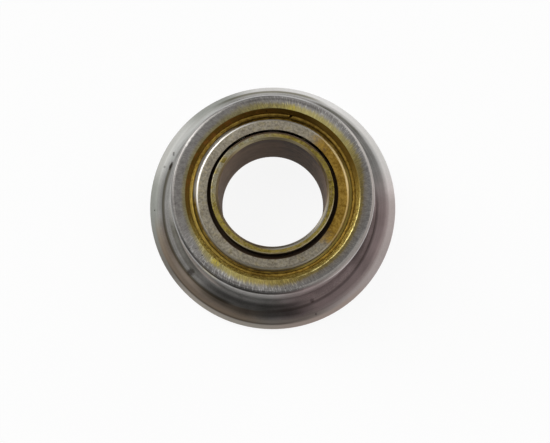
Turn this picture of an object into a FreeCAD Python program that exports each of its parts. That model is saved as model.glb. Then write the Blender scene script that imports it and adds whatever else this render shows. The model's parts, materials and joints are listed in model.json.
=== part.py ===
import FreeCAD, Part
import os

import Sketcher

# Flanged ball bearing for a wheel or a roller, lying on its flange with the nose up.
# The axis of rotation is Z, and the flange's back face lies on the plane z = 0. Lengths are in millimetres.

PART_FOLDER = "parts"
SHEET = "Sizes"
FITS = "Fits"
MATCH = 1e-4
FULL_TURN = 360.0
TURNED_OVER = FreeCAD.Rotation(FreeCAD.Vector(1, 0, 0), 180)
HALF_STEP = "180deg / Sizes.ball_count"

# Driving dimensions: name, value, what it measures
SIZES = [
    ("bore_diameter", 19.05, "shaft hole of the inner ring, a 3/4 in axle"),
    ("bore_chamfer", 0.4, "chamfer at both mouths of the bore"),
    ("inner_width", 14.2875, "inner ring from face to face, 9/16 in"),
    ("inner_recess", 0.25, "inner ring's back face above the flange's back face"),
    ("inner_wall", 1.35, "bore to the bottom of the inner raceway"),
    ("inner_shoulder", 0.9, "height of the inner land over its raceway"),
    ("inner_land_width", 7.2, "axial width of the inner land"),
    ("inner_end_wall", 1.3, "wall of the inner ring at its two ends"),
    ("inner_edge_round", 0.15, "rounded outer edges of the inner ring's faces"),
    ("ball_diameter", 3.969, "5/32 in ball"),
    ("ball_count", 12, "balls in the row"),
    ("ball_play", 0.05, "room between a ball and each raceway"),
    ("race_ratio", 0.52, "raceway radius as a part of the ball's diameter"),
    ("outer_wall", 3.056, "bottom of the outer raceway to the outside of the nose"),
    ("outer_shoulder", 0.9, "height of the outer land over its raceway"),
    ("outer_width", 13.9, "outer ring from the flange's back to the nose face"),
    ("nose_round", 0.75, "rounded edge of the nose face"),
    ("flange_reach", 5.2, "flange beyond the outside of the nose"),
    ("flange_thickness", 2.4, "flange from its back to its front face"),
    ("root_fillet", 1.65, "fillet between the nose and the flange"),
    ("rim_bevel", 1.5, "bevel round the front of the flange"),
    ("rim_round", 1.8, "rounding of the bevel's upper edge"),
    ("back_chamfer", 0.4, "chamfer round the back of the flange"),
    ("seat_step", 0.65, "shoulder that a shield's brim sits on"),
    ("seat_depth", 2.35, "ring face to that shoulder"),
    ("mouth_width", 0.65, "radial width of the sloped mouth over a shield"),
    ("mouth_depth", 0.85, "depth of the sloped mouth"),
    ("mouth_round", 0.12, "rounded upper edge of a mouth"),
    ("shield_sheet", 0.5, "sheet thickness of a shield"),
    ("shield_gap", 0.73, "slit between a shield and the inner ring"),
    ("shield_fit", 0.05, "room round a shield's brim"),
    ("shield_recess", 0.55, "shield's crown below the ring face"),
    ("crown_width", 2.05, "flat crown of a shield, from its hole to its bend"),
    ("crown_round", 0.6, "outer bend of the crown"),
    ("wire_diameter", 0.9, "round wire of a snap ring"),
    ("wire_bite", 0.25, "depth of the groove that holds the wire"),
    ("wire_play", 0.02, "room round the wire"),
    ("wire_gap", 0.4, "opening of the snap ring, across its cut"),
    ("wire_cut_slant", 40.0, "slant of that cut, in degrees"),
    ("wire_gap_bearing", 77.0, "direction of the opening, in degrees from X"),
    ("cage_sheet", 0.4, "sheet thickness of the cage"),
    ("cage_width", 1.4, "radial width of the cage ribbon"),
    ("pocket_play", 0.1, "room between a ball and its pocket"),
    ("rivet_diameter", 0.6, "shank of a cage rivet"),
    ("rivet_head_diameter", 1.0, "head of a cage rivet"),
    ("rivet_crown_diameter", 0.6, "flat top of that head"),
    ("rivet_head_height", 0.25, "height of a rivet's head"),
    ("rivet_play", 0.03, "room round a rivet's shank"),
]

# Places that follow from the driving dimensions, each worked out from those above it
PLACES = [
    ("bore_radius", "Sizes.bore_diameter / 2"),
    ("inner_front", "Sizes.inner_recess + Sizes.inner_width"),
    ("inner_end_radius", "Fits.bore_radius + Sizes.inner_end_wall"),
    ("inner_race_radius", "Fits.bore_radius + Sizes.inner_wall"),
    ("inner_land_radius", "Fits.inner_race_radius + Sizes.inner_shoulder"),
    ("ball_radius", "Sizes.ball_diameter / 2"),
    ("race_round", "Sizes.ball_diameter * Sizes.race_ratio"),
    ("pitch_radius", "Fits.inner_race_radius + Sizes.ball_play + Fits.ball_radius"),
    ("outer_race_radius", "Fits.pitch_radius + Fits.ball_radius + Sizes.ball_play"),
    ("outer_land_radius", "Fits.outer_race_radius - Sizes.outer_shoulder"),
    ("nose_radius", "Fits.outer_race_radius + Sizes.outer_wall"),
    ("flange_radius", "Fits.nose_radius + Sizes.flange_reach"),
    ("race_height", "Sizes.outer_width / 2"),
    ("inner_land_bottom", "Fits.race_height - Sizes.inner_land_width / 2"),
    ("inner_land_top", "Fits.race_height + Sizes.inner_land_width / 2"),
    ("front_seat", "Sizes.outer_width - Sizes.seat_depth"),
    ("seat_radius", "Fits.outer_land_radius + Sizes.seat_step"),
    ("mouth_radius", "Fits.seat_radius + Sizes.mouth_width"),
    ("front_mouth", "Sizes.outer_width - Sizes.mouth_depth"),
    ("brim_radius", "Fits.seat_radius - Sizes.shield_fit"),
    ("shield_hole_radius", "Fits.inner_end_radius + Sizes.shield_gap"),
    ("crown_radius", "Fits.shield_hole_radius + Sizes.crown_width"),
    ("crown_height", "Sizes.seat_depth - Sizes.shield_recess"),
    ("wire_radius", "Sizes.wire_diameter / 2"),
    ("groove_round", "Fits.wire_radius + Sizes.wire_play"),
    ("wire_ring_radius", "Fits.seat_radius + Sizes.wire_bite - Fits.groove_round"),
    ("wire_lift", "Sizes.shield_sheet + Fits.groove_round"),
    ("front_wire", "Fits.front_seat + Fits.wire_lift"),
    ("rear_wire", "Sizes.seat_depth - Fits.wire_lift"),
    ("cage_inner_radius", "Fits.pitch_radius - Sizes.cage_width / 2"),
    ("cage_outer_radius", "Fits.pitch_radius + Sizes.cage_width / 2"),
    ("pocket_radius", "Fits.ball_radius + Sizes.pocket_play"),
    ("cup_radius", "Fits.pocket_radius + Sizes.cage_sheet"),
    ("rivet_hole_radius", "Sizes.rivet_diameter / 2 + Sizes.rivet_play"),
    ("rivet_head_top", "Sizes.cage_sheet + Sizes.rivet_head_height"),
]


# The document, its sizes and the small tools that every sub-part uses

def fill_sheet(doc):
    sheet = doc.addObject("Spreadsheet::Sheet", SHEET)
    for row, (name, value, meaning) in enumerate(SIZES, start=1):
        sheet.set(f"A{row}", name)
        sheet.set(f"B{row}", str(value))
        sheet.set(f"C{row}", meaning)
        sheet.setAlias(f"B{row}", name)
    doc.recompute()
    return sheet


def fill_fits(doc):
    fits = doc.addObject("App::VarSet", FITS)
    for name, rule in PLACES:
        fits.addProperty("App::PropertyFloat", name, "Places")
        fits.setExpression(name, rule)
        doc.recompute()
    return fits


def new_body(doc, label):
    body = doc.addObject("PartDesign::Body", label)
    body.Label = label
    return body


def origin_feature(body, role):
    return next(feature for feature in body.Origin.OriginFeatures if feature.Role == role)


def new_sketch(body, name, plane):
    sketch = body.newObject("Sketcher::SketchObject", name)
    sketch.AttachmentSupport = [(origin_feature(body, plane), "")]
    sketch.MapMode = "FlatFace"
    return sketch


def pin_point(sketch, geometry, point, x_rule, y_rule):
    """Hold one point of a sketch at the distances from the origin that two rules give."""
    for kind, rule in (("DistanceX", x_rule), ("DistanceY", y_rule)):
        value = float(sketch.evalExpression(rule))
        index = sketch.addConstraint(Sketcher.Constraint(kind, -1, 1, geometry, point, value))
        sketch.setExpression(f"Constraints[{index}]", rule)


def draw_polygon(sketch, corners):
    """Draw a closed outline through corners, each a pair of rules."""
    spots = [FreeCAD.Vector(float(sketch.evalExpression(x)), float(sketch.evalExpression(y)), 0)
             for x, y in corners]
    count = len(corners)
    sides = [sketch.addGeometry(Part.LineSegment(spots[i], spots[(i + 1) % count])) for i in range(count)]
    for i, side in enumerate(sides):
        sketch.addConstraint(Sketcher.Constraint("Coincident", side, 2, sides[(i + 1) % count], 1))
    for side, (x, y) in zip(sides, corners):
        pin_point(sketch, side, 1, x, y)


def draw_circle(sketch, x_rule, y_rule, radius_rule):
    centre = FreeCAD.Vector(float(sketch.evalExpression(x_rule)), float(sketch.evalExpression(y_rule)), 0)
    radius = float(sketch.evalExpression(radius_rule))
    circle = sketch.addGeometry(Part.Circle(centre, FreeCAD.Vector(0, 0, 1), radius))
    pin_point(sketch, circle, 3, x_rule, y_rule)
    index = sketch.addConstraint(Sketcher.Constraint("Radius", circle, radius))
    sketch.setExpression(f"Constraints[{index}]", radius_rule)


def turn(body, name, kind, sketch, axis="V_Axis"):
    """Revolve a sketch of the XZ plane a full turn round one of its axes, to add or to cut."""
    feature = body.newObject(kind, name)
    feature.Profile = sketch
    feature.ReferenceAxis = (sketch, [axis])
    feature.Angle = FULL_TURN
    body.Document.recompute()
    return feature


def turn_outline(body, name, corners):
    sketch = new_sketch(body, f"{name}Outline", "XZ_Plane")
    draw_polygon(sketch, corners)
    return turn(body, name, "PartDesign::Revolution", sketch)


def turn_round_groove(body, name, radius_rule, height_rule, round_rule):
    sketch = new_sketch(body, f"{name}Outline", "XZ_Plane")
    draw_circle(sketch, radius_rule, height_rule, round_rule)
    return turn(body, name, "PartDesign::Groove", sketch)


def circle_edges(base, spots):
    """Name the circular edges of a feature that lie at the given radii and heights."""
    found = []
    for radius_rule, height_rule in spots:
        radius = float(base.evalExpression(radius_rule))
        height = float(base.evalExpression(height_rule))
        for number, edge in enumerate(base.Shape.Edges, start=1):
            if edge.Curve.TypeId != "Part::GeomCircle":
                continue
            near_radius = abs(edge.Curve.Radius - radius) < MATCH
            if near_radius and abs(edge.Curve.Center.z - height) < MATCH:
                found.append(f"Edge{number}")
    return found


def dress_edges(body, name, kind, size_name, size_rule, spots):
    """Chamfer or fillet the circular edges at spots."""
    base = body.Tip
    feature = body.newObject(kind, name)
    feature.Base = (base, circle_edges(base, spots))
    feature.setExpression(size_name, size_rule)
    body.Document.recompute()
    return feature


def chamfer(body, name, size_rule, spots):
    return dress_edges(body, name, "PartDesign::Chamfer", "Size", size_rule, spots)


def fillet(body, name, radius_rule, spots):
    return dress_edges(body, name, "PartDesign::Fillet", "Radius", radius_rule, spots)


def ring_pattern(body, name, original):
    """Repeat a feature once for each ball."""
    pattern = body.newObject("PartDesign::PolarPattern", name)
    pattern.Originals = [original]
    pattern.Axis = (origin_feature(body, "Z_Axis"), [""])
    pattern.Angle = FULL_TURN
    pattern.setExpression("Occurrences", "Sizes.ball_count")
    body.Tip = pattern
    body.Document.recompute()
    return pattern


def place(body, height_rule, turned_over=False):
    if turned_over:
        body.Placement = FreeCAD.Placement(FreeCAD.Vector(), TURNED_OVER)
    body.setExpression("Placement.Base.z", height_rule)


# Rings

def make_outer_ring(doc):
    """Nose and flange turned in one piece, with a mouth, a wire groove and a seat at each end."""
    body = new_body(doc, "outer_ring")
    turn_outline(body, "OuterBlank", [
        ("Fits.mouth_radius", "0"),
        ("Fits.flange_radius", "0"),
        ("Fits.flange_radius", "Sizes.flange_thickness"),
        ("Fits.nose_radius", "Sizes.flange_thickness"),
        ("Fits.nose_radius", "Sizes.outer_width"),
        ("Fits.mouth_radius", "Sizes.outer_width"),
        ("Fits.seat_radius", "Fits.front_mouth"),
        ("Fits.seat_radius", "Fits.front_seat"),
        ("Fits.outer_land_radius", "Fits.front_seat"),
        ("Fits.outer_land_radius", "Sizes.seat_depth"),
        ("Fits.seat_radius", "Sizes.seat_depth"),
        ("Fits.seat_radius", "Sizes.mouth_depth"),
    ])
    fillet(body, "RootFillet", "Sizes.root_fillet", [("Fits.nose_radius", "Sizes.flange_thickness")])
    fillet(body, "NoseRound", "Sizes.nose_round", [("Fits.nose_radius", "Sizes.outer_width")])
    fillet(body, "MouthRound", "Sizes.mouth_round",
           [("Fits.mouth_radius", "0"), ("Fits.mouth_radius", "Sizes.outer_width")])
    chamfer(body, "BackChamfer", "Sizes.back_chamfer", [("Fits.flange_radius", "0")])
    chamfer(body, "RimBevel", "Sizes.rim_bevel", [("Fits.flange_radius", "Sizes.flange_thickness")])
    fillet(body, "RimRound", "Sizes.rim_round",
           [("Fits.flange_radius - Sizes.rim_bevel", "Sizes.flange_thickness")])
    turn_round_groove(body, "OuterRaceway", "Fits.outer_race_radius - Fits.race_round", "Fits.race_height",
                      "Fits.race_round")
    turn_round_groove(body, "FrontWireGroove", "Fits.wire_ring_radius", "Fits.front_wire", "Fits.groove_round")
    turn_round_groove(body, "RearWireGroove", "Fits.wire_ring_radius", "Fits.rear_wire", "Fits.groove_round")
    return body


def make_inner_ring(doc):
    """Bore, raceway land and two thinner ends that pass through the shields."""
    body = new_body(doc, "inner_ring")
    turn_outline(body, "InnerBlank", [
        ("Fits.bore_radius", "Sizes.inner_recess"),
        ("Fits.inner_end_radius", "Sizes.inner_recess"),
        ("Fits.inner_end_radius", "Fits.inner_land_bottom"),
        ("Fits.inner_land_radius", "Fits.inner_land_bottom"),
        ("Fits.inner_land_radius", "Fits.inner_land_top"),
        ("Fits.inner_end_radius", "Fits.inner_land_top"),
        ("Fits.inner_end_radius", "Fits.inner_front"),
        ("Fits.bore_radius", "Fits.inner_front"),
    ])
    chamfer(body, "BoreChamfer", "Sizes.bore_chamfer",
            [("Fits.bore_radius", "Sizes.inner_recess"), ("Fits.bore_radius", "Fits.inner_front")])
    fillet(body, "FaceRound", "Sizes.inner_edge_round",
           [("Fits.inner_end_radius", "Sizes.inner_recess"), ("Fits.inner_end_radius", "Fits.inner_front")])
    turn_round_groove(body, "InnerRaceway", "Fits.inner_race_radius + Fits.race_round", "Fits.race_height",
                      "Fits.race_round")
    return body


# Closures

def make_shield(doc, label, height_rule, turned_over):
    """Pressed sheet hat: a flat brim on the seat, a short wall and a flat crown with a hole."""
    body = new_body(doc, label)
    wall_inside = "Fits.crown_radius - Sizes.shield_sheet"
    crown_underside = "Fits.crown_height - Sizes.shield_sheet"
    turn_outline(body, "ShieldSheet", [
        (wall_inside, "0"),
        ("Fits.brim_radius", "0"),
        ("Fits.brim_radius", "Sizes.shield_sheet"),
        ("Fits.crown_radius", "Sizes.shield_sheet"),
        ("Fits.crown_radius", "Fits.crown_height"),
        ("Fits.shield_hole_radius", "Fits.crown_height"),
        ("Fits.shield_hole_radius", crown_underside),
        (wall_inside, crown_underside),
    ])
    fillet(body, "CrownBend", "Sizes.crown_round",
           [("Fits.crown_radius", "Fits.crown_height"), (wall_inside, "0")])
    place(body, height_rule, turned_over)
    return body


def make_snap_ring(doc, label, height_rule, turned_over):
    """Round wire bent to a ring, with a slanted cut that leaves a narrow opening."""
    body = new_body(doc, label)
    wire = new_sketch(body, "WireSection", "XZ_Plane")
    draw_circle(wire, "Fits.wire_ring_radius", "0", "Fits.wire_radius")
    turn(body, "WireRing", "PartDesign::Revolution", wire)
    cut = new_sketch(body, "RingCut", "XY_Plane")
    inside = "Fits.wire_ring_radius - Sizes.wire_diameter"
    outside = "Fits.wire_ring_radius + Sizes.wire_diameter"
    half_gap = "Sizes.wire_gap / 2 / cos(Sizes.wire_cut_slant * 1deg)"
    lean = "Sizes.wire_diameter * tan(Sizes.wire_cut_slant * 1deg)"
    draw_polygon(cut, [
        (inside, f"{lean} - {half_gap}"),
        (outside, f"-({lean}) - {half_gap}"),
        (outside, f"-({lean}) + {half_gap}"),
        (inside, f"{lean} + {half_gap}"),
    ])
    opening = body.newObject("PartDesign::Pocket", "Opening")
    opening.Profile = cut
    opening.Type = "ThroughAll"
    opening.Midplane = True
    doc.recompute()
    place(body, height_rule, turned_over)
    bearing = FreeCAD.Rotation(FreeCAD.Vector(0, 0, 1), float(body.evalExpression("Sizes.wire_gap_bearing")))
    body.Placement = FreeCAD.Placement(body.Placement.Base, body.Placement.Rotation * bearing)
    return body


# Balls and cage

def add_ball_ring(body, name, kind, radius_rule):
    """Put a sphere at the first ball's place and repeat it for every ball."""
    sphere = body.newObject(kind, name)
    sphere.AttachmentSupport = [(origin_feature(body, "XY_Plane"), "")]
    sphere.MapMode = "FlatFace"
    sphere.setExpression("Radius", radius_rule)
    sphere.setExpression("AttachmentOffset.Base.x", "Fits.pitch_radius")
    body.Document.recompute()
    return ring_pattern(body, f"{name}Ring", sphere)


def make_cage_half(doc, label, turned_over):
    """Pressed ribbon: flat between the balls, with a round cup over each ball and rivet holes."""
    body = new_body(doc, label)
    turn_outline(body, "Ribbon", [
        ("Fits.cage_inner_radius", "0"),
        ("Fits.cage_outer_radius", "0"),
        ("Fits.cage_outer_radius", "Sizes.cage_sheet"),
        ("Fits.cage_inner_radius", "Sizes.cage_sheet"),
    ])
    add_ball_ring(body, "Cup", "PartDesign::AdditiveSphere", "Fits.cup_radius")
    trim = new_sketch(body, "RibbonTrim", "XZ_Plane")
    over_cups = "Fits.cup_radius * 2"
    inside_cups = "Fits.cage_inner_radius - Fits.cup_radius * 2"
    outside_cups = "Fits.cage_outer_radius + Fits.cup_radius * 2"
    draw_polygon(trim, [
        (inside_cups, over_cups),
        ("Fits.cage_inner_radius", over_cups),
        ("Fits.cage_inner_radius", "0"),
        ("Fits.cage_outer_radius", "0"),
        ("Fits.cage_outer_radius", over_cups),
        (outside_cups, over_cups),
        (outside_cups, f"-({over_cups})"),
        (inside_cups, f"-({over_cups})"),
    ])
    turn(body, "RibbonEdges", "PartDesign::Groove", trim)
    add_ball_ring(body, "Pocket", "PartDesign::SubtractiveSphere", "Fits.pocket_radius")
    hole_sketch = new_sketch(body, "RivetHoleOutline", "XY_Plane")
    draw_circle(hole_sketch, f"Fits.pitch_radius * cos({HALF_STEP})", f"Fits.pitch_radius * sin({HALF_STEP})",
                "Fits.rivet_hole_radius")
    hole = body.newObject("PartDesign::Pocket", "RivetHole")
    hole.Profile = hole_sketch
    hole.Type = "ThroughAll"
    hole.Midplane = True
    doc.recompute()
    ring_pattern(body, "RivetHoles", hole)
    place(body, "Fits.race_height", turned_over)
    return body


def make_cage_rivets(doc):
    """One headed rivet between each two balls, through both halves of the cage."""
    body = new_body(doc, "cage_rivets")
    body.AllowCompound = True
    section = new_sketch(body, "RivetSection", "XZ_Plane")
    shank = "Fits.pitch_radius + Sizes.rivet_diameter / 2"
    head = "Fits.pitch_radius + Sizes.rivet_head_diameter / 2"
    crown = "Fits.pitch_radius + Sizes.rivet_crown_diameter / 2"
    draw_polygon(section, [
        ("Fits.pitch_radius", "-Fits.rivet_head_top"),
        (crown, "-Fits.rivet_head_top"),
        (head, "-Sizes.cage_sheet"),
        (shank, "-Sizes.cage_sheet"),
        (shank, "Sizes.cage_sheet"),
        (head, "Sizes.cage_sheet"),
        (crown, "Fits.rivet_head_top"),
        ("Fits.pitch_radius", "Fits.rivet_head_top"),
    ])
    axis_foot = FreeCAD.Vector(float(section.evalExpression("Fits.pitch_radius")), 0, 0)
    axis = section.addGeometry(Part.LineSegment(axis_foot, axis_foot + FreeCAD.Vector(0, 1, 0)), True)
    pin_point(section, axis, 1, "Fits.pitch_radius", "0")
    section.addConstraint(Sketcher.Constraint("Vertical", axis))
    rivet = turn(body, "Rivet", "PartDesign::Revolution", section, "Axis0")
    ring_pattern(body, "RivetRing", rivet)
    body.setExpression("Placement.Rotation.Angle", HALF_STEP)
    place(body, "Fits.race_height")
    return body


def make_ball(doc, number):
    ball = doc.addObject("Part::Sphere", f"ball_{number:02d}")
    ball.Label = f"ball_{number:02d}"
    ball.setExpression("Radius", "Fits.ball_radius")
    bearing = f"{number - 1} * 360deg / Sizes.ball_count"
    ball.setExpression("Placement.Base.x", f"Fits.pitch_radius * cos({bearing})")
    ball.setExpression("Placement.Base.y", f"Fits.pitch_radius * sin({bearing})")
    ball.setExpression("Placement.Base.z", "Fits.race_height")
    return ball


# Build, check and write

def make_all(doc):
    pieces = [
        make_outer_ring(doc),
        make_inner_ring(doc),
        make_shield(doc, "front_shield", "Fits.front_seat", False),
        make_shield(doc, "rear_shield", "Sizes.seat_depth", True),
        make_snap_ring(doc, "front_snap_ring", "Fits.front_wire", False),
        make_snap_ring(doc, "rear_snap_ring", "Fits.rear_wire", True),
        make_cage_half(doc, "cage_front_half", False),
        make_cage_half(doc, "cage_rear_half", True),
        make_cage_rivets(doc),
    ]
    ball_count = int(doc.getObject(SHEET).ball_count)
    pieces += [make_ball(doc, number) for number in range(1, ball_count + 1)]
    doc.recompute()
    return pieces


def check_all(doc, pieces):
    failed = [item.Name for item in doc.Objects if {"Invalid", "Error"} & set(item.State)]
    if failed:
        raise RuntimeError(f"features that failed: {failed}")
    for piece in pieces:
        if piece.Shape.isNull() or not piece.Shape.isValid():
            raise RuntimeError(f"{piece.Label} has no valid solid")


def write_all(pieces):
    os.makedirs(PART_FOLDER, exist_ok=True)
    for piece in pieces:
        piece.Shape.exportStep(os.path.join(PART_FOLDER, f"{piece.Label}.step"))


def main():
    doc = FreeCAD.newDocument("FlangedBallBearing")
    fill_sheet(doc)
    fill_fits(doc)
    pieces = make_all(doc)
    check_all(doc, pieces)
    write_all(pieces)


main()
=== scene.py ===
import json
import math

import bpy
from mathutils import Matrix, Vector


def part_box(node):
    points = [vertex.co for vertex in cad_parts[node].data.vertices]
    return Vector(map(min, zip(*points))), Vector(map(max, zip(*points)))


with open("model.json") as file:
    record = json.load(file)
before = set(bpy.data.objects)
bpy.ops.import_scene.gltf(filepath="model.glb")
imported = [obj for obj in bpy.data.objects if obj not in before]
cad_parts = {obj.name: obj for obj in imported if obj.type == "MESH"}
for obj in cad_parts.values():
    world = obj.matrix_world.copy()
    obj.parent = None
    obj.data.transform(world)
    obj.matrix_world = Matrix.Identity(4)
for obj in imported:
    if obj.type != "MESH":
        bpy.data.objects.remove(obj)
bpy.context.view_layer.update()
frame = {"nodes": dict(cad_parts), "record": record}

# A flanged ball bearing that lies on its flange, nose up, on a pale floor under soft studio light.
# Names that end in _MM or _mm, and the places of the finishes, are in millimetres.
# Other lengths are in metres.
# Bearings are in degrees from X, round the axis of rotation.

MM_PER_M = 1000.0

# Camera, from the ring ellipses of the photograph
PHOTO_WIDTH = 550
CAMERA_TILT = 9.05
CAMERA_DISTANCE = 0.160
CAMERA_FOCUS_PX = 916.5
CAMERA_ASIDE = (0.00043, -0.00512)
CAMERA_CLIP = (0.005, 10.0)
SENSOR_WIDTH = 36.0


def mount_radius_mm(name):
    return next(mount["dims"]["r_mm"] for mount in frame["record"]["mounts"] if mount["name"] == name)


def top_mm(node):
    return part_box(node)[1].z * MM_PER_M


def reach_mm(node):
    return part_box(node)[1].x * MM_PER_M


# Zones of the bearing, by radius and by height
BORE_MM = mount_radius_mm("shaft_bore")
INNER_EDGE_MM = BORE_MM + 1.16
SHIELD_HOLE_MM = BORE_MM + 2.03
SHIELD_CROWN_MM = BORE_MM + 4.08
NOSE_MM = mount_radius_mm("housing_seat")
MOUTH_MM = NOSE_MM - 2.66
NOSE_EDGE_MM = NOSE_MM - 0.75
ROOT_LINE_MM = NOSE_MM + 2.07
FLANGE_MM = reach_mm("outer_ring")
RIM_MM = FLANGE_MM - 1.6
CREASE_MM = FLANGE_MM - 0.85
NOSE_FACE_MM = top_mm("outer_ring")
INNER_FACE_MM = top_mm("inner_ring")


class Field:
    """A socket of a node tree, with shader maths as Python operators."""

    def __init__(self, tree, socket=None):
        self.tree = tree
        self.socket = socket

    def node(self, kind, settings=None, inputs=None, output=0):
        """Add a node: its settings first, then the values or links of its sockets."""
        made = self.tree.nodes.new(kind)
        for name, value in (settings or {}).items():
            setattr(made, name, value)
        for name, value in (inputs or {}).items():
            socket = find_socket(made.inputs, name)
            if isinstance(value, Field):
                self.tree.links.new(value.socket, socket)
            else:
                socket.default_value = value
        if not made.outputs:
            return None
        return Field(self.tree, find_socket(made.outputs, output))

    def maths(self, operation, *values):
        return self.node("ShaderNodeMath", {"operation": operation}, dict(enumerate(values)))

    def __add__(self, other):
        return self.maths("ADD", self, other)

    __radd__ = __add__

    def __sub__(self, other):
        return self.maths("SUBTRACT", self, other)

    def __rsub__(self, other):
        return self.maths("SUBTRACT", other, self)

    def __mul__(self, other):
        return self.maths("MULTIPLY", self, other)

    __rmul__ = __mul__

    def __truediv__(self, other):
        return self.maths("DIVIDE", self, other)

    def __pow__(self, other):
        return self.maths("POWER", self, other)

    def step(self, low, high):
        """A smooth rise from 0 at low to 1 at high; a fall where low is the greater."""
        rising = low < high
        return self.node(
            "ShaderNodeMapRange",
            {"interpolation_type": "SMOOTHSTEP", "clamp": True},
            {"Value": self, "From Min": min(low, high), "From Max": max(low, high),
             "To Min": 0.0 if rising else 1.0, "To Max": 1.0 if rising else 0.0},
        )

    def band(self, low, high, soft):
        """1 from low to high, fading to 0 over soft on both sides."""
        return self.step(low - soft, low) * self.step(high + soft, high)

    def sharpened(self, spread):
        """Noise drawn out about its middle: 0 at a half less the spread, 1 at a half more."""
        return self.step(0.5 - spread, 0.5 + spread)

    def clamp(self):
        return self.node("ShaderNodeClamp", {}, {"Value": self, "Min": 0.0, "Max": 1.0})

    def blend(self, colour_at_0, colour_at_1):
        """The first colour where this field is 0, and the second where it is 1."""
        return self.node(
            "ShaderNodeMix", {"data_type": "RGBA", "clamp_factor": True},
            {"Factor_Float": self, "A_Color": colour_at_0, "B_Color": colour_at_1}, "Result_Color",
        )

    def covered(self, mask, colour, share=1.0):
        """This colour under another one, as far as a mask and a share say."""
        return (mask * share).blend(self, colour)

    def stained(self, mask, colour, share=1.0):
        """This colour multiplied by a stain's colour, as far as a mask and a share say."""
        return self.node(
            "ShaderNodeMix", {"data_type": "RGBA", "blend_type": "MULTIPLY", "clamp_factor": True},
            {"Factor_Float": mask * share, "A_Color": self, "B_Color": colour}, "Result_Color",
        )


def find_socket(sockets, name):
    if isinstance(name, int):
        return sockets[name]
    return next(socket for socket in sockets if name in (socket.identifier, socket.name))


def srgb(red, green, blue):
    """A colour as seen on screen, 0 to 255, as the linear colour that a shader takes."""
    shares = (red / 255, green / 255, blue / 255)
    linear = [c / 12.92 if c <= 0.04045 else ((c + 0.055) / 1.055) ** 2.4 for c in shares]
    return (*linear, 1.0)


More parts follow.
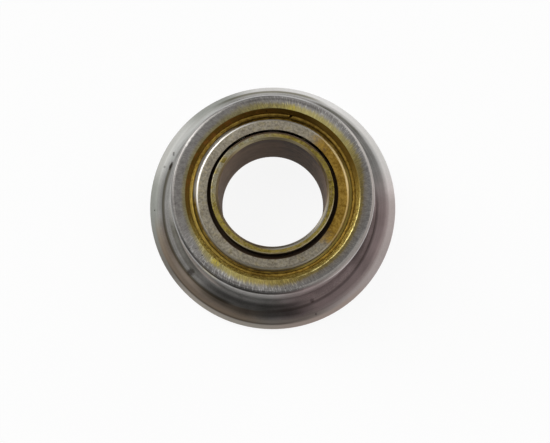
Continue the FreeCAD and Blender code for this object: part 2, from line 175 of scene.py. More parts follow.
class TurnedFinish:
    """The finish of a turned piece, with places given by radius, height and bearing."""

    def __init__(self, name):
        self.material = bpy.data.materials.new(name)
        self.material.use_nodes = True
        tree = self.material.node_tree
        tree.nodes.clear()
        self.root = Field(tree)
        place = self.root.node("ShaderNodeTexCoord", output="Object")
        self.place = self.root.node("ShaderNodeVectorMath", {"operation": "SCALE"},
                                    {"Vector": place, "Scale": MM_PER_M})
        x, y, self.height = (self.root.node("ShaderNodeSeparateXYZ", {}, {"Vector": self.place}, axis)
                             for axis in "XYZ")
        self.radius = (x * x + y * y) ** 0.5
        self.east = x / self.radius
        self.north = y / self.radius

    def noise(self, scale, detail=3.0, roughness=0.55, vector=None):
        """Cloudy noise from 0 to 1, in cells to the millimetre unless another vector is given."""
        return self.root.node(
            "ShaderNodeTexNoise", {"noise_dimensions": "3D", "normalize": True},
            {"Vector": vector or self.place, "Scale": scale, "Detail": detail, "Roughness": roughness}, "Fac",
        )

    def around(self, cells_per_turn, depth, twist=0.0):
        """Coordinates that close on themselves round the axis; twist is a small turn that may vary."""
        reach = cells_per_turn / math.tau
        return self.root.node("ShaderNodeCombineXYZ", {}, {
            "X": (self.east + self.north * twist) * reach,
            "Y": (self.north - self.east * twist) * reach,
            "Z": depth,
        })

    def drawn_out(self, vector):
        """Noise along a vector that is stretched one way."""
        return self.noise(scale=1.0, detail=2.0, roughness=0.6, vector=vector)

    def slanted_streaks(self, per_turn, length_mm):
        """Noise drawn out along the radius, with the slant that a coarse wheel leaves."""
        twist = (self.radius - NOSE_MM) * (SLANT_OF_SCRATCHES / NOSE_MM)
        return self.drawn_out(self.around(per_turn, self.radius / length_mm, twist))

    def turning_lines(self, per_mm, per_turn):
        """Noise drawn out round the axis, as a lathe leaves it."""
        return self.drawn_out(self.around(per_turn, (self.radius + self.height) * per_mm))

    def specks(self, per_mm, size, share):
        """Scattered ragged specks: 1 inside, on that share of the cells."""
        settings = {"voronoi_dimensions": "3D", "feature": "F1"}
        inputs = {"Vector": self.place, "Scale": per_mm, "Randomness": 1.0}
        distance = self.root.node("ShaderNodeTexVoronoi", settings, inputs, "Distance")
        distance = distance + (self.noise(per_mm * 4.0, detail=2.0) - 0.5) * size
        lot = self.root.node("ShaderNodeTexVoronoi", settings, inputs, "Color")
        chance = self.root.node("ShaderNodeSeparateColor", {}, {"Color": lot}, "Red")
        return distance.step(size, size * 0.5) * chance.step(share, share * 0.9)

    def sector(self, bearing, half_angle, soft):
        """1 within half_angle of a bearing, fading to 0 over soft more degrees."""
        angle = math.radians(bearing)
        facing = self.east * math.cos(angle) + self.north * math.sin(angle)
        return facing.step(math.cos(math.radians(half_angle + soft)), math.cos(math.radians(half_angle)))

    def sectors(self, sides):
        """Sum of sectors, each with its amount first."""
        return sum(amount * self.sector(*side) for amount, *side in sides)

    def away(self, bearing, radius_mm):
        """Distance across the axis from the place at a bearing and a radius."""
        angle = math.radians(bearing)
        centre = (radius_mm * math.cos(angle), radius_mm * math.sin(angle), 0.0)
        without_height = {0: self.place, 1: (1.0, 1.0, 0.0)}
        flat = self.root.node("ShaderNodeVectorMath", {"operation": "MULTIPLY"}, without_height)
        ends = {0: flat, 1: centre}
        return self.root.node("ShaderNodeVectorMath", {"operation": "DISTANCE"}, ends, "Value")

    def spot(self, bearing, radius_mm, size_mm, ragged_mm=0.0):
        """A soft spot, round or with a ragged edge."""
        distance = self.away(bearing, radius_mm)
        if ragged_mm:
            distance = distance + (self.noise(2.5, detail=2.0) - 0.5) * ragged_mm
        return distance.step(size_mm, size_mm * 0.3)

    def spots(self, places):
        """Sum of spots, each with its amount first."""
        return sum(amount * self.spot(*place) for amount, *place in places)

    def finish(self, colour, roughness, relief, relief_mm, metallic=1.0, specular=0.5):
        bump = {"Height": relief, "Strength": 1.0, "Distance": relief_mm / MM_PER_M}
        surface = self.root.node("ShaderNodeBsdfPrincipled", {}, {
            "Base Color": colour,
            "Roughness": roughness,
            "Metallic": metallic,
            "Specular IOR Level": specular,
            "Normal": self.root.node("ShaderNodeBump", {}, bump, "Normal"),
        })
        self.root.node("ShaderNodeOutputMaterial", {}, {"Surface": surface})
        return self.material


# Finishes
#
# A SIDE is a stretch round the axis: its bearing, half angle and soft edge, in degrees.
# A SPOT is a place on the piece: its bearing and radius, its size, and how ragged its edge is.
# SIDES and SPOTS add up, and each of them has its amount first.
# A BAND is a stretch of radius, or of the distance from a line or a lip: low, high and soft edge.
# A FADE is two values of such a distance or of height: where a mask is 0 and where it is 1.

# Colours that more than one piece has
OIL_BROWN = srgb(112, 87, 35)
OIL_GOLD = srgb(160, 132, 61)
# Painted light on oil films: in the mouth, on the shields' outer wall and on the snap rings.
OIL_PAINTED_LIGHT = srgb(206, 184, 100)
OIL_STAIN = srgb(255, 243, 174)
# Grime in specks, marks and dark lines, and painted shadow at the foot of the nose.
GRIME_AND_SHADE = srgb(42, 33, 24)
# Black grease, with painted shade, in the gap between the shields and the inner ring.
BLACK_GREASE_AND_SHADE = srgb(74, 58, 44)
# Wear on the rim, and painted shade on the nose's edge and face.
STEEL_WEAR_AND_SHADE = srgb(226, 224, 221)
SLANT_OF_SCRATCHES = math.tan(math.radians(15))

# Outer ring: wall and flange
WALL_DARK = srgb(130, 128, 125)
WALL_LIGHT = srgb(164, 162, 159)
WALL_PAINTED_LIGHT = srgb(206, 207, 204)
WALL_SHADE = srgb(202, 200, 200)
WALL_PAINTED_HIGHLIGHT = srgb(206, 196, 188)
FLANGE_DARK = srgb(118, 116, 113)
FLANGE_LIGHT = srgb(150, 148, 145)
ROOT_SHADE = srgb(172, 170, 156)
ROOT_TINT = srgb(178, 174, 162)
DRIED_OIL = srgb(210, 200, 168)
PURPLE_HAZE = srgb(255, 232, 234)
BROWN_HAZE = srgb(255, 233, 212)
FLANGE_TOP_FADE = (4.5, 3.0)
FLANGE_BACK_FADE = (0.2, 0.6)
ROOT_LINE_CENTRE = (175, 0.48)
FLANGE_START_FADE = (-0.1, 0.15)
LIT_FLANGE_SIDES = (
    (1.0, 138, 12, 18),
    (0.3, 175, 8, 10),
    (0.45, 354, 8, 16),
    (0.34, 316, 16, 18),
    (0.12, 16, 6, 10),
    (0.25, 231, 12, 14),
)
LIT_FLANGE_FADE = (FLANGE_MM - 1.0, FLANGE_MM - 2.2)
LIT_OUTER_WALL_SIDE = (168, 8, 10)
SHADED_WALL_SIDE = (338, 6, 18)
SHADED_FILLET_SIDES = ((1.0, 208, 8, 14), (0.5, 189, 5, 8))
SHADED_FILLET_BAND = (NOSE_MM + 0.3, NOSE_MM + 1.4, 0.3)
HIGHLIGHT_FILLET_SIDE = (217, 10, 16)
HIGHLIGHT_FILLET_BAND = (NOSE_MM - 0.1, NOSE_MM + 0.4, 0.15)
HIGHLIGHT_FILLET_FADE = (6.0, 3.9)
PURPLE_SIDE = (323, 30, 30)
DRIED_OIL_SPOT = (231, NOSE_MM, 2.4, 3.0)
DRIED_OIL_FADE = (11.2, 14.2)
DRIED_OIL_RAGGED_MM = 2.5
BROWN_SIDE = (227, 26, 18)
BROWN_FADE = (CREASE_MM + 0.2, CREASE_MM - 0.1)
FAR_SHADE_SIDE = (92, 16, 16)
FAR_SHADE_BAND = (FLANGE_MM - 1.3, FLANGE_MM - 1.1, 0.3)
RIGHT_SHADE_SIDE = (53, 10, 8)
RIGHT_SHADE_BAND = (FLANGE_MM - 2.05, FLANGE_MM - 1.8, 0.25)

# Outer ring: bevelled rim of the flange
RIM_DIRT_AND_SHADE = srgb(152, 148, 141)
PAINTED_HIGHLIGHT_STEEL = srgb(226, 225, 224)
RIM_WARM_LIT = srgb(190, 183, 174)
RIM_COOL_LIT = srgb(160, 162, 157)
RIM_FADE = (RIM_MM - 0.6, RIM_MM + 0.6)
LIT_RIM_SIDES = ((1.0, 57, 37, 21), (0.6, 338, 25, 28), (0.4, 150, 6, 16))
LIT_COOL_RIM_SIDE = (150, 38, 20)
LIT_WARM_RIM_SIDE = (268, 38, 18)
LIT_WARM_RIM_FADE = (CREASE_MM - 0.1, CREASE_MM + 0.3)
PURPLE_RIM_SIDE = (321, 36, 25)

# Outer ring: rounded edge of the nose
EDGE_PAINTED_HIGHLIGHT = srgb(190, 184, 178)
ROUNDING_FADE = (12.4, 13.2)
LIT_EDGE_SIDE = (351, 39, 26)
LIT_EDGE_BAND = (NOSE_EDGE_MM - 0.3, NOSE_MM - 0.1, 0.2)
HIGHLIGHT_EDGE_SIDE = (336, 8, 32)
HIGHLIGHT_EDGE_FADE = (NOSE_MM - 0.14, NOSE_MM - 0.03)
FAR_EDGE_BAND = (NOSE_MM - 0.3, NOSE_MM + 0.1, 0.15)
FAR_EDGE_FADE = (12.9, 13.2)
LIT_FAR_EDGE_SIDE = (95, 18, 15)
SHADED_FAR_EDGE_SIDE = (150, 22, 18)
SHADED_EDGE_SIDE = (171, 12, 10)
SHADED_EDGE_BAND = (NOSE_MM - 0.5, NOSE_MM - 0.2, 0.1)
SMOOTH_EDGE_FADE = (NOSE_EDGE_MM - 0.1, NOSE_EDGE_MM + 0.1)
SMOOTH_EDGE_HEIGHT_FADE = (NOSE_FACE_MM - 0.9, NOSE_FACE_MM - 0.7)
CRISP_EDGE_SIDE = (180, 75, 30)

# Outer ring: ground face of the nose
FACE_DARK = srgb(95, 92, 89)
FACE_LIGHT = srgb(144, 141, 138)
FACE_PAINTED_GLINT = srgb(206, 205, 202)
WARM_HAZE = srgb(255, 238, 206)
FACE_FADE = (NOSE_FACE_MM - 0.1, NOSE_FACE_MM - 0.02)
GLINT_FACE_SIDES = ((0.7, 58, 18, 26), (1.0, 248, 22, 25))
SHADED_FACE_SIDE = (180, 12, 15)
SMOOTH_FACE_SIDE = (350, 35, 25)
LIT_LIP_SIDE = (311, 15, 14)
LIT_LIP_BAND = (NOSE_EDGE_MM - 0.1, NOSE_MM - 0.35, 0.12)
SHADED_LIP_SIDES = ((1.0, 242, 12, 12), (1.0, 84, 16, 14))
SHADED_LIP_BAND = (NOSE_EDGE_MM - 0.3, NOSE_EDGE_MM - 0.1, 0.2)
LIT_INNER_LIP_SIDES = ((1.0, 52, 14, 18), (0.7, 252, 10, 12))
LIT_INNER_LIP_FADE = (1.7, 0.7)
WARM_LIP_SIDE = (320, 50, 35)
WARM_LIP_FADE = (1.8, 0.2)

# Outer ring: oil round the mouth and in it
MOUTH_BROWN = srgb(96, 71, 24)
OIL_RUST = srgb(130, 88, 38)
OIL_GLINT = srgb(250, 236, 160)
YELLOW_BLOT = srgb(186, 168, 58)
MOUTH_FADE = (0.05, -0.05)
THIN_OIL_SIDE = (165, 50, 25)
OIL_REACH_MM = 0.45
OIL_REACH_SIDES = ((0.5, *THIN_OIL_SIDE), (1.2, 66, 34, 35), (1.1, 254, 20, 24), (0.5, 340, 30, 35))
BLOT_SIDES = ((0.3, 66, 25, 25), (0.3, 252, 22, 22))
BLOT_SPOTS = ((1.0, 231, MOUTH_MM + 0.35, 0.85, 1.2), (0.7, 77, MOUTH_MM + 0.45, 0.95, 1.2))
RUSTY_SIDE = (135, 28, 25)
GOLD_SIDE = (30, 20, 20)
LIT_OIL_SIDE = (285, 65, 35)
GLINT_SIDE = (324, 24, 18)
GLINT_BAND = (-0.06, 0.06, 0.1)

# Outer ring: painted shadow and dark lines where the wall meets the flange, and small marks
SHADED_ROOT_SIDE = (258, 17, 20)
SHADED_ROOT_START_FADE = (NOSE_MM + 0.4, NOSE_MM + 1.1)
SHADED_ROOT_END_FADE = (FLANGE_MM - 1.35, FLANGE_MM - 2.45)
ROOT_LINE_BAND = (-0.1, 0.1, 0.3)
ROOT_TINT_SIDE = (203, 40, 8)
ROOT_LINE_SIDES = ((0.15, 215, 20, 15), (0.45, 315, 40, 20))
EDGE_LINE_SIDE = (245, 30, 15)
EDGE_LINE_DARK_SIDE = (240, 8, 8)
EDGE_LINE_BAND = (NOSE_EDGE_MM + 0.42, NOSE_EDGE_MM + 0.53, 0.12)
EDGE_LINE_FADE = (11.0, 12.5)
EDGE_DASHES_PER_TURN = 25
CREASE_SIDES = ((0.55, 245, 25, 15),)
CREASE_BAND = (CREASE_MM - 0.03, CREASE_MM + 0.03, 0.2)
MARK_SPOTS = (
    (0.6, 157.2, 20.62, 0.28),
    (1.0, 158.1, 20.6, 0.34),
    (1.0, 159.0, 20.62, 0.38),
    (1.0, 159.9, 20.62, 0.34),
    (0.7, 160.9, 20.6, 0.3),
    (0.6, 152.2, 21.2, 0.3),
    (0.6, 153.1, 21.05, 0.3),
    (0.45, 160.5, 21.7, 0.35),
    (0.8, 220, 19.8, 0.95, 0.9),
    (0.5, 292, 19.45, 0.55, 0.6),
    (0.5, 291.3, 22.0, 0.3, 0.2),
)


class OuterRing(TurnedFinish):
    """Ground nose face, satin wall and flange, and an oil film in the mouths."""

    def __init__(self, name):
        super().__init__(name)
        self.clouds = self.noise(0.3, detail=4.0)
        self.grain = self.noise(5.0)
        self.mottle = self.noise(1.3, detail=4.0) * 0.5 + self.noise(6.0) * 0.5
        self.lines = self.turning_lines(per_mm=5.0, per_turn=5.0)
        self.scratches = self.slanted_streaks(per_turn=1500, length_mm=0.9)
        self.strokes = self.slanted_streaks(per_turn=680, length_mm=1.0)
        self.combing = self.slanted_streaks(per_turn=330, length_mm=1.8)
        self.tone = (self.clouds * 0.4 + self.grain * 0.35 + self.lines * 0.25).sharpened(0.14)
        self.low = self.height.step(*FLANGE_TOP_FADE) * self.height.step(*FLANGE_BACK_FADE)
        self.past_root = self.away(*ROOT_LINE_CENTRE) - ROOT_LINE_MM
        self.on_flange = self.past_root.step(*FLANGE_START_FADE) * self.low
        self.on_rounding = self.height.step(*ROUNDING_FADE)
        self.on_face = self.height.step(*FACE_FADE)
        self.past_mouth = self.radius - MOUTH_MM
        self.in_mouth = self.past_mouth.step(*MOUTH_FADE)

    def wall_and_flange(self):
        off_flange = 1.0 - self.on_flange
        wall = self.tone.blend(WALL_DARK, WALL_LIGHT)
        colour = self.on_flange.blend(wall, self.tone.blend(FLANGE_DARK, FLANGE_LIGHT))
        # Painted light: the flange and the wall made paler on the sides where light falls.
        lit_flange = self.sectors(LIT_FLANGE_SIDES) * self.on_flange * self.radius.step(*LIT_FLANGE_FADE)
        colour = colour.covered(lit_flange, WALL_PAINTED_LIGHT, share=0.75)
        colour = colour.covered(self.sector(*LIT_OUTER_WALL_SIDE) * off_flange, WALL_PAINTED_LIGHT, share=0.2)
        in_fillet = self.radius.band(*SHADED_FILLET_BAND) * self.low
        colour = colour.stained(self.sectors(SHADED_FILLET_SIDES) * in_fillet, ROOT_SHADE, share=0.6)
        colour = colour.stained(self.sector(*SHADED_WALL_SIDE) * off_flange, WALL_SHADE)
        colour = colour.stained(self.sector(*PURPLE_SIDE), PURPLE_HAZE)
        ragged_height = self.height + DRIED_OIL_RAGGED_MM * self.noise(0.8)
        dried_oil = self.spot(*DRIED_OIL_SPOT) * ragged_height.step(*DRIED_OIL_FADE)
        colour = colour.covered(dried_oil, DRIED_OIL, share=0.4)
        # Painted highlight on the fillet at the foot of the wall, on one side, broken up by the tone.
        fillet_highlight = self.sector(*HIGHLIGHT_FILLET_SIDE) * self.radius.band(*HIGHLIGHT_FILLET_BAND) * self.height.step(*HIGHLIGHT_FILLET_FADE)
        return colour.covered(fillet_highlight * (0.5 + 0.4 * self.tone), WALL_PAINTED_HIGHLIGHT)

    def rim(self):
        # The rim's base colour is dirt and painted shade. Cool and warm painted light and painted highlights
        # lighten it on the sides where light falls.
        colour = self.sector(*LIT_COOL_RIM_SIDE).blend(RIM_DIRT_AND_SHADE, RIM_COOL_LIT)
        colour = colour.covered(self.sectors(LIT_RIM_SIDES).clamp(), PAINTED_HIGHLIGHT_STEEL)
        colour = colour.stained((self.lines * 0.6 + self.grain * 0.4).step(0.7, 0.3), STEEL_WEAR_AND_SHADE)
        warm = self.radius.step(*LIT_WARM_RIM_FADE) * self.sector(*LIT_WARM_RIM_SIDE)
        colour = colour.covered(warm, RIM_WARM_LIT)
        return colour.stained(self.sector(*PURPLE_RIM_SIDE), PURPLE_HAZE, share=0.5)

    def flange_shades(self, colour):
        brown = self.sector(*BROWN_SIDE) * self.on_flange * self.radius.step(*BROWN_FADE)
        colour = colour.stained(brown * (0.3 + 0.5 * self.grain + 0.5 * self.clouds), BROWN_HAZE)
        far = self.radius.band(*FAR_SHADE_BAND) * self.low * self.sector(*FAR_SHADE_SIDE)
        colour = colour.stained(far, ROOT_SHADE)
        right = self.radius.band(*RIGHT_SHADE_BAND) * self.low * self.sector(*RIGHT_SHADE_SIDE)
        return colour.stained(right, ROOT_SHADE, share=0.6)

    def painted_edge_light_and_shade(self, colour):
        # Painted highlights on the nose's rounded edge on some sides, and painted shade on its far edge on
        # another.
        painted_edge_light = self.radius.band(*LIT_EDGE_BAND) * self.on_rounding * self.sector(*LIT_EDGE_SIDE)
        colour = colour.covered(painted_edge_light, EDGE_PAINTED_HIGHLIGHT, share=0.6)
        painted_light = self.radius.step(*HIGHLIGHT_EDGE_FADE) * self.on_rounding * self.sector(*HIGHLIGHT_EDGE_SIDE)
        colour = colour.covered(painted_light, PAINTED_HIGHLIGHT_STEEL, share=0.8)
        far_edge = self.radius.band(*FAR_EDGE_BAND) * self.height.step(*FAR_EDGE_FADE)
        colour = colour.covered(far_edge * self.sector(*LIT_FAR_EDGE_SIDE), PAINTED_HIGHLIGHT_STEEL, share=0.55)
        return colour.stained(far_edge * self.sector(*SHADED_FAR_EDGE_SIDE), STEEL_WEAR_AND_SHADE, share=0.5)

    def ground_face(self):
        scored = self.scratches * 0.3 + self.strokes * 0.25 + self.mottle * 0.45
        colour = scored.sharpened(0.16).blend(FACE_DARK, FACE_LIGHT)
        # Painted sheen on two sides of the face, painted glints on its scratch strokes there, and painted
        # shade on a third side.
        painted_glint = self.sectors(GLINT_FACE_SIDES)
        colour = colour.covered(painted_glint, FACE_LIGHT, share=0.3)
        colour = colour.stained(self.sector(*SHADED_FACE_SIDE), STEEL_WEAR_AND_SHADE, share=0.5)
        return colour.covered(self.strokes.step(0.5, 0.72) * painted_glint, FACE_PAINTED_GLINT, share=0.85)

    def face_lips(self, colour):
        """The outer and inner lips of the nose's face, with painted highlights, painted shade and a warm tint
        by stretches.
        """
        painted_edge_light = self.radius.band(*LIT_LIP_BAND) * self.on_face * self.sector(*LIT_LIP_SIDE)
        colour = colour.covered(painted_edge_light, EDGE_PAINTED_HIGHLIGHT, share=0.5)
        painted_shade = self.radius.band(*SHADED_LIP_BAND) * self.on_face * self.sectors(SHADED_LIP_SIDES)
        colour = colour.stained(painted_shade, WALL_SHADE, share=0.8)
        shaded_edge = self.radius.band(*SHADED_EDGE_BAND) * self.on_rounding * self.sector(*SHADED_EDGE_SIDE)
        colour = colour.stained(shaded_edge, WALL_SHADE)
        painted_light = self.past_mouth.step(*LIT_INNER_LIP_FADE) * self.on_face * self.sectors(LIT_INNER_LIP_SIDES)
        colour = colour.covered(painted_light, FACE_PAINTED_GLINT, share=0.28)
        warm = self.past_mouth.step(*WARM_LIP_FADE) * self.on_face * self.sector(*WARM_LIP_SIDE)
        return colour.stained(warm, WARM_HAZE, share=0.7)

    def oil_on_face(self, colour):
        """Oil that has crept out of the mouth along the scratches."""
        thin = self.sector(*THIN_OIL_SIDE)
        reach = OIL_REACH_MM + self.sectors(OIL_REACH_SIDES)
        reach = reach * (0.15 + 0.6 * self.strokes + 0.9 * self.combing)
        creep = (1.0 - self.past_mouth / reach).clamp() * self.on_face
        stain = creep.step(0.0, 0.6) * (1.0 - 0.7 * thin) + creep * thin * 0.7
        colour = colour.stained(stain, OIL_STAIN)
        blots = creep.step(0.3, 0.9) * self.sectors(BLOT_SIDES) + self.spots(BLOT_SPOTS)
        combed = (self.strokes * 0.6 + self.combing * 0.4).step(0.38, 0.6)
        return colour.covered(blots.clamp() * self.on_face * combed, YELLOW_BLOT, share=0.8)

    def oil_in_mouth(self):
        film = self.mottle.sharpened(0.2).blend(MOUTH_BROWN, OIL_BROWN)
        rusty = self.sector(*RUSTY_SIDE) * self.noise(0.9).step(0.45, 0.65)
        film = film.covered(rusty, OIL_RUST)
        film = film.covered(self.sector(*GOLD_SIDE), OIL_GOLD, share=0.55)
        speckle = self.noise(2.8, detail=4.0, roughness=0.7).sharpened(0.12)
        # Painted light, speckled, on the oil film of the mouth's lower side.
        return film.covered(self.sector(*LIT_OIL_SIDE) * (0.2 + 0.65 * speckle), OIL_PAINTED_LIGHT)

    def dirt_and_shade(self, colour):
        """Painted shadow of the nose on the flange at the bottom, dark lines where the wall meets the flange,
        at the nose's edge and near the rim, marks and specks.
        """
        # Painted shadow: the nose's shadow on the fillet and flange on one side.
        root_shadow = self.radius.step(*SHADED_ROOT_START_FADE) * self.radius.step(*SHADED_ROOT_END_FADE) * self.low
        colour = colour.stained(root_shadow * self.sector(*SHADED_ROOT_SIDE), GRIME_AND_SHADE, share=0.7)
        root_line = self.past_root.band(*ROOT_LINE_BAND) * self.low
        colour = colour.stained(root_line * self.sector(*ROOT_TINT_SIDE), ROOT_TINT)
        dashes = self.noise(1.0, 1.0, 0.5, self.around(EDGE_DASHES_PER_TURN, depth=0.0)).step(0.3, 0.5)
        dashes = 0.35 + 0.35 * dashes + 0.25 * self.sector(*EDGE_LINE_DARK_SIDE)
        edge_line = self.radius.band(*EDGE_LINE_BAND) * self.height.step(*EDGE_LINE_FADE)
        crease = self.radius.band(*CREASE_BAND) * self.low
        lines = (root_line * self.sectors(ROOT_LINE_SIDES) + edge_line * dashes * self.sector(*EDGE_LINE_SIDE)
                 + crease * self.sectors(CREASE_SIDES))
        marks = self.spots(MARK_SPOTS) * self.low * (0.7 + 0.6 * self.grain)
        specks = self.specks(per_mm=0.9, size=0.16, share=0.05)
        return colour.covered((lines + marks + specks).clamp(), GRIME_AND_SHADE, share=0.9)

    def roughness(self):
        on_edge = self.radius.step(*SMOOTH_EDGE_FADE) * self.height.step(*SMOOTH_EDGE_HEIGHT_FADE)
        crisp = on_edge * self.sector(*CRISP_EDGE_SIDE)
        ground = (self.on_face - on_edge).clamp()
        smoother = 0.16 * ground + 0.1 * on_edge + 0.16 * crisp + 0.12 * self.in_mouth
        return 0.6 - smoother + 0.08 * self.on_flange + 0.14 * (self.grain - 0.5)

    def relief(self):
        scored = (1.0 - 0.6 * self.sector(*SMOOTH_FACE_SIDE)) * (self.scratches * 1.6 + self.strokes * 0.6)
        turned = self.grain * 0.25 + self.turning_lines(per_mm=14.0, per_turn=9.0) * 1.2
        return self.on_face * scored + (1.0 - self.on_face) * turned


def ground_steel():
    ring = OuterRing("ground_steel")
    colour = ring.radius.step(*RIM_FADE).blend(ring.wall_and_flange(), ring.rim())
    colour = ring.flange_shades(colour)
    colour = ring.painted_edge_light_and_shade(colour)
    colour = colour.covered(ring.on_face, ring.ground_face())
    colour = ring.face_lips(colour)
    colour = ring.oil_on_face(colour)
    colour = colour.covered(ring.in_mouth, ring.oil_in_mouth())
    glint = ring.past_mouth.band(*GLINT_BAND) * ring.sector(*GLINT_SIDE) * ring.mottle.sharpened(0.08)
    colour = colour.covered(glint, OIL_GLINT, share=0.8)
    colour = ring.dirt_and_shade(colour)
    return ring.finish(colour, ring.roughness(), ring.relief(), relief_mm=0.02)


# Inner ring
FILM_DARK = srgb(110, 94, 40)
FILM_LIGHT = srgb(158, 142, 76)
FILM_SHADE = srgb(228, 225, 218)
FILM_BROWN = srgb(150, 128, 104)
FILM_YELLOW = srgb(176, 160, 66)
BARE_DARK = srgb(124, 118, 98)
BARE_LIGHT = srgb(160, 154, 132)
BORE_EDGE_DARK = srgb(136, 118, 90)
BORE_EDGE_LIGHT = srgb(174, 156, 122)
BORE_EDGE_GREY = srgb(156, 150, 136)
BORE_EDGE_PAINTED_LIGHT = srgb(206, 196, 160)
BORE_DARK = srgb(86, 69, 55)
BORE_LIGHT = srgb(122, 101, 83)
BORE_WARM_LIT = srgb(140, 116, 94)
BORE_SHADE = srgb(176, 174, 172)
OUTSIDE_PAINTED_HIGHLIGHT = srgb(236, 226, 190)
SHADED_FILM_SIDE = (28, 35, 25)
BARE_FACE_SIDE = (140, 22, 40)
GREY_BORE_EDGE_SIDE = (308, 32, 20)
SHADED_BORE_EDGE_SIDES = ((1.0, 225, 25, 25), (0.6, 5, 20, 20))
LIT_BORE_EDGE_SIDE = (92, 26, 24)
WIDE_BORE_EDGE_SIDES = ((0.2, 300, 35, 20),)
BORE_EDGE_FADE = (0.44, 0.38)
BORE_FADE = (0.06, 0.02)
LIT_WARM_BORE_SIDE = (125, 25, 30)
SHADED_BORE_SIDE = (75, 35, 25)
SHADED_BORE_FADE = (11.0, 13.4)
OUTSIDE_FADE = (INNER_EDGE_MM - 0.03, INNER_EDGE_MM + 0.02)
NARROW_FACE_SIDES = ((0.14, 92, 36, 24),)
GREASE_AND_SHADE_FADE = (INNER_FACE_MM - 0.12, INNER_FACE_MM - 0.4)
LOW_GREASE_AND_SHADE_SIDES = ((0.5, 292, 52, 24),)
HIGHLIGHT_OUTSIDE_SIDE = (285, 50, 25)
GREASY_SHADED_SIDE = (85, 35, 30)


def oiled_steel():
    """Inner ring: oil film on the face, dark bore, bright bore edge with painted light at the top, black
    grease and painted shade on the outside, and a painted highlight there.
    """
    ring = TurnedFinish("oiled_steel")
    grain = ring.noise(4.0, detail=4.0)
    patches = ring.noise(0.8, detail=4.0)
    lines = ring.turning_lines(per_mm=6.0, per_turn=8.0)

    colour = (grain * 0.55 + patches * 0.45).sharpened(0.14).blend(FILM_DARK, FILM_LIGHT)
    colour = colour.stained(ring.sector(*SHADED_FILM_SIDE), FILM_SHADE)
    colour = colour.covered(ring.noise(1.6).step(0.5, 0.68), FILM_BROWN, share=0.55)
    colour = colour.covered(ring.noise(2.1).step(0.52, 0.7), FILM_YELLOW, share=0.6)
    bare_and_highlight = grain.sharpened(0.15).blend(BARE_DARK, BARE_LIGHT)
    colour = colour.covered(ring.sector(*BARE_FACE_SIDE) * patches.step(0.3, 0.55), bare_and_highlight)

    past_bore = ring.radius - BORE_MM
    edge = lines.sharpened(0.2).blend(BORE_EDGE_DARK, BORE_EDGE_LIGHT)
    edge = edge.covered(ring.sector(*GREY_BORE_EDGE_SIDE), BORE_EDGE_GREY)
    edge = edge.stained(ring.sectors(SHADED_BORE_EDGE_SIDES).clamp(), BORE_SHADE)
    # Painted light on the bore's edge at the top.
    edge = edge.covered(ring.sector(*LIT_BORE_EDGE_SIDE), BORE_EDGE_PAINTED_LIGHT, share=0.6)
    on_bore_edge = (past_bore - ring.sectors(WIDE_BORE_EDGE_SIDES)).step(*BORE_EDGE_FADE)
    colour = colour.covered(on_bore_edge, edge)

    bore = (lines * 0.5 + patches * 0.5).sharpened(0.15).blend(BORE_DARK, BORE_LIGHT)
    # Painted light: one side of the bore warmer and lighter.
    bore = bore.covered(ring.sector(*LIT_WARM_BORE_SIDE), BORE_WARM_LIT, share=0.5)
    shaded = ring.sector(*SHADED_BORE_SIDE) * ring.height.step(*SHADED_BORE_FADE)
    bore = bore.stained(shaded, BORE_SHADE, share=0.8)
    in_bore = past_bore.step(*BORE_FADE)
    colour = colour.covered(in_bore, bore)

    # The ring's outside in the gap by the shield: black grease with painted shade.
    outside = (ring.radius + ring.sectors(NARROW_FACE_SIDES)).step(*OUTSIDE_FADE)
    grease_and_shade = (ring.height + ring.sectors(LOW_GREASE_AND_SHADE_SIDES) - 0.1 * patches).step(*GREASE_AND_SHADE_FADE)
    # Painted highlight on the clean top of the ring's outer wall, at the bottom.
    painted_light = outside * (1.0 - grease_and_shade) * ring.sector(*HIGHLIGHT_OUTSIDE_SIDE)
    colour = colour.covered(painted_light, OUTSIDE_PAINTED_HIGHLIGHT, share=0.8)
    greasy_and_shaded = outside * (grease_and_shade + ring.sector(*GREASY_SHADED_SIDE)).clamp()
    colour = colour.covered(greasy_and_shaded, BLACK_GREASE_AND_SHADE)
    colour = colour.covered(ring.specks(per_mm=2.2, size=0.2, share=0.1), GRIME_AND_SHADE, share=0.6)

    roughness = 0.42 + 0.26 * in_bore + 0.14 * (grain - 0.5)
    metallic = 1.0 - in_bore - 0.7 * greasy_and_shaded
    return ring.finish(colour, roughness, grain * 0.6 + lines * 0.3, 0.008, metallic, specular=0.15)


# Shields
SHEET_DARK = srgb(110, 102, 88)
SHEET_LIGHT = srgb(170, 163, 147)
AMBER_DARK = srgb(112, 84, 28)
AMBER_LIGHT = srgb(168, 136, 62)
BEND_GREY = srgb(186, 182, 172)
BEND_AMBER = srgb(176, 155, 106)
BEND_PAINTED_LIGHT = srgb(226, 225, 221)
BEND_GOLD_HIGHLIGHT = srgb(232, 216, 172)
BEND_PAINTED_HIGHLIGHT = srgb(236, 235, 230)
AMBER_SIDE = (4, 22, 42)
BEND_SHIFT_SIDES = ((0.1, 22, 14, 14), (-0.1, 172, 20, 14), (-0.06, 305, 18, 18))
BEND_BAND = (SHIELD_CROWN_MM - 0.38, SHIELD_CROWN_MM, 0.12)
LIT_BEND_SIDE = (148, 30, 22)
GOLD_HIGHLIGHT_BEND_SIDE = (22, 12, 14)
HIGHLIGHT_BEND_SIDE = (157, 18, 22)
HIGHLIGHT_BEND_BAND = (SHIELD_CROWN_MM - 0.36, SHIELD_CROWN_MM, 0.14)
SHIELD_WALL_FADE = (SHIELD_CROWN_MM, SHIELD_CROWN_MM + 0.04)
LIT_SHIELD_WALL_SIDE = (334, 34, 22)
HIGHLIGHT_SHIELD_WALL_SIDE = (152, 20, 16)
HOLE_FADE = (SHIELD_HOLE_MM + 0.02, SHIELD_HOLE_MM - 0.02)
